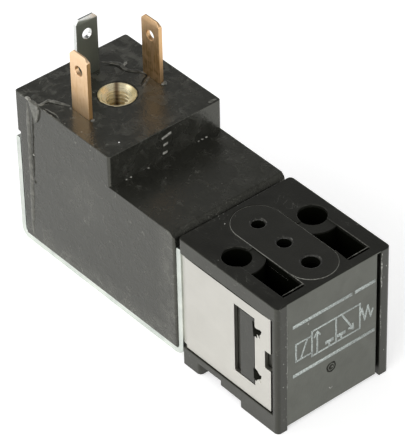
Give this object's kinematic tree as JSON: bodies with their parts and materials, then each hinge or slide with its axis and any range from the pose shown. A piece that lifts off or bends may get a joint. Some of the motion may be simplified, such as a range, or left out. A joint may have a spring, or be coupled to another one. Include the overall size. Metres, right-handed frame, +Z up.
{
  "type": "pneumatic solenoid valve",
  "caption": "Small direct-acting three-port solenoid valve: coil with plug blades and yoke, joined by a clip to a moulded block with its ports on a flat mounting face.",
  "frame": {"origin": "middle of the footprint, at the soles of the valve body's feet", "axes": "+X from the coil to the valve body, along the plunger's axis; +Y across; +Z up, out of the port face and the plug face"},
  "size_m": [0.042, 0.015, 0.0276],
  "materials": {
    "coil_plastic": "moulded, semi-matt",
    "body_plastic": "moulded, glass-filled",
    "zinc_steel": "zinc plated",
    "clip_steel": "rolled",
    "copper": "bare copper alloy",
    "tinned": "tinned",
    "brass": "turned",
    "winding_copper": "enamelled wire",
    "bobbin_plastic": "moulded",
    "magnet_steel": "turned",
    "spring_steel": "drawn wire",
    "rubber": "moulded"
  },
  "bodies": {
    "valve": {"coil_housing": "coil_plastic", "yoke": "zinc_steel", "terminal_power_a": "copper", "terminal_power_b": "copper", "terminal_earth": "tinned", "threaded_insert": "brass", "bobbin": "bobbin_plastic", "winding": "winding_copper", "fixed_core": "magnet_steel", "guide_tube": "magnet_steel", "return_spring": "spring_steel", "valve_body": "body_plastic", "port_gasket": "rubber", "exhaust_seat": "brass", "supply_seat": "brass", "poppet_spring": "spring_steel", "flange_o_ring": "rubber", "exhaust_seat_o_ring": "rubber", "supply_seat_o_ring": "rubber", "retaining_clip": "clip_steel"},
    "plunger": {"plunger": "magnet_steel", "push_pins": "spring_steel"},
    "poppet": {"poppet_holder": "brass", "poppet_seal": "rubber"}
  },
  "joints": [
    {"name": "plunger_slide", "type": "slide", "parent": "valve", "child": "plunger", "axis": [-1, 0, 0], "range_m": [0, 0.0005], "stiffness_N_per_m": 300, "springref_m": -0.004, "deforming": ["return_spring"]},
    {"name": "poppet_slide", "type": "slide", "parent": "valve", "child": "poppet", "axis": [-1, 0, 0], "range_m": [0, 0.0005], "deforming": ["poppet_spring"]}
  ],
  "couplings": [
    {"joint": "poppet_slide", "follows": "plunger_slide", "ratio": 1}
  ]
}
